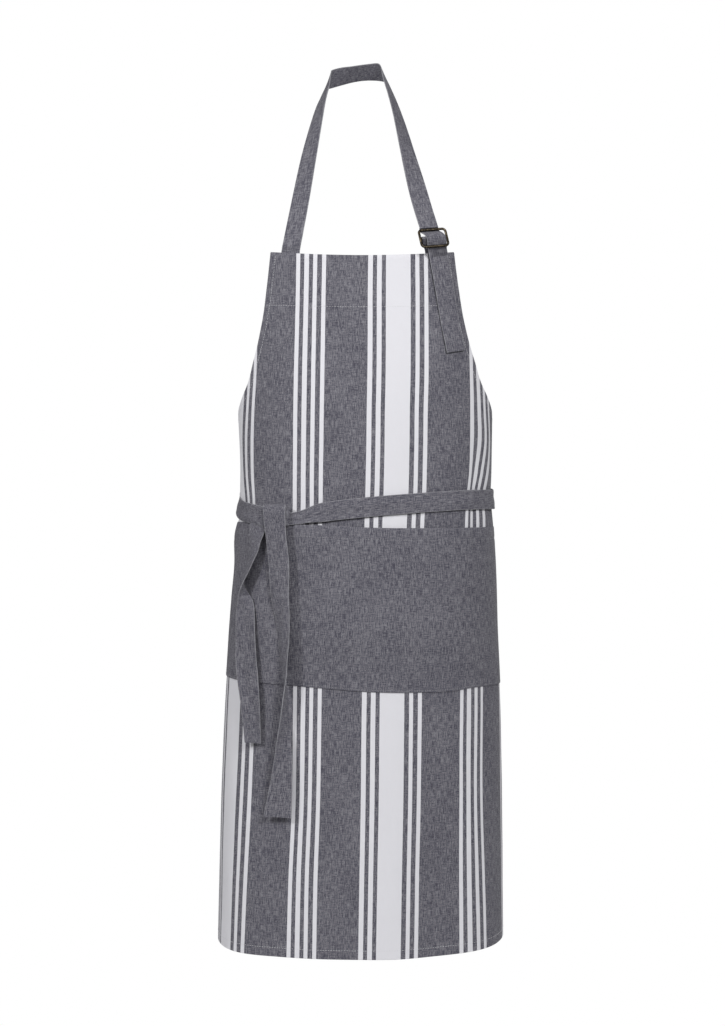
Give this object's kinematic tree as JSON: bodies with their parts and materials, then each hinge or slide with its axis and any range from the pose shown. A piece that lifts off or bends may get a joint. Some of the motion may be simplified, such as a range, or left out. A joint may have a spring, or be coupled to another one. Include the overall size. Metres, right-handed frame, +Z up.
{
  "type": "butcher apron",
  "caption": "Striped cotton bib apron with a full-width chambray pocket, adjustable neck strap with slider buckle, and waist ties knotted at the front.",
  "frame": {"origin": "middle of the nape band of the neck strap, on the apron's centre plane", "axes": "+Z up, the apron's front faces -Y, +X to the viewer's right when facing the front"},
  "size_m": [0.3735, 0.226, 1.1563],
  "materials": {
    "striped_cotton": "woven cotton, grey-navy chambray with white warp stripes",
    "chambray_cotton": "plain woven grey-navy chambray cotton",
    "white_thread": "matte sewing thread",
    "antique_brass": "antique brass, dark with lighter worn edges"
  },
  "bodies": {
    "apron": {"main_panel": "striped_cotton", "bib_facing": "striped_cotton", "facing_thread": "white_thread", "bottom_hem_thread": "white_thread", "pocket_hem_thread": "white_thread", "pocket_base_thread": "white_thread", "side_thread_left": "white_thread", "side_thread_right": "white_thread", "armhole_thread_left": "white_thread", "armhole_thread_right": "white_thread", "tie_stitch_left": "white_thread", "tie_stitch_right": "white_thread", "pocket_panel": "chambray_cotton", "strap_end_sewn": "chambray_cotton", "buckle_loop": "chambray_cotton", "waist_tie_left": "chambray_cotton", "waist_tie_right": "chambray_cotton", "knot_core": "chambray_cotton", "knot_turn": "chambray_cotton"},
    "neck_loop": {"neck_strap": "chambray_cotton"},
    "buckle": {"buckle_frame": "antique_brass", "buckle_bar": "antique_brass", "strap_turn": "chambray_cotton"},
    "strap_end": {"strap_free_end": "chambray_cotton"},
    "long_tail": {"long_tail_upper": "chambray_cotton"},
    "long_tail_tip": {"long_tail_lower": "chambray_cotton"},
    "short_tail": {"short_tail_upper": "chambray_cotton"},
    "short_tail_tip": {"short_tail_lower": "chambray_cotton"}
  },
  "joints": [
    {"name": "neck_strap_fold", "type": "hinge", "parent": "apron", "child": "neck_loop", "pos_m": [-0.09, -0.156, -0.254], "axis": [0.9906, -0.017, 0.1356], "range_deg": [0, 100]},
    {"name": "buckle_tilt", "type": "hinge", "parent": "apron", "child": "buckle", "pos_m": [0.0897, -0.1665, -0.2448], "axis": [-0.9468, -0.3019, -0.111], "range_deg": [0, 12]},
    {"name": "strap_end_slide", "type": "slide", "parent": "apron", "child": "strap_end", "axis": [0.1658, -0.0429, -0.9852], "range_m": [0, 0.05]},
    {"name": "long_tail_swing", "type": "hinge", "parent": "apron", "child": "long_tail", "pos_m": [-0.11091, -0.18659, -0.612], "axis": [-0.9107, 0.413, 0], "range_deg": [0, 75]},
    {"name": "long_tail_bend", "type": "hinge", "parent": "long_tail", "child": "long_tail_tip", "pos_m": [-0.10158, -0.19653, -0.79], "axis": [-0.9107, 0.413, 0], "range_deg": [0, 60]},
    {"name": "short_tail_swing", "type": "hinge", "parent": "apron", "child": "short_tail", "pos_m": [-0.13557, -0.17126, -0.612], "axis": [-0.8067, 0.591, 0], "range_deg": [0, 75]},
    {"name": "short_tail_bend", "type": "hinge", "parent": "short_tail", "child": "short_tail_tip", "pos_m": [-0.14892, -0.16729, -0.745], "axis": [-0.8067, 0.591, 0], "range_deg": [0, 60]}
  ]
}
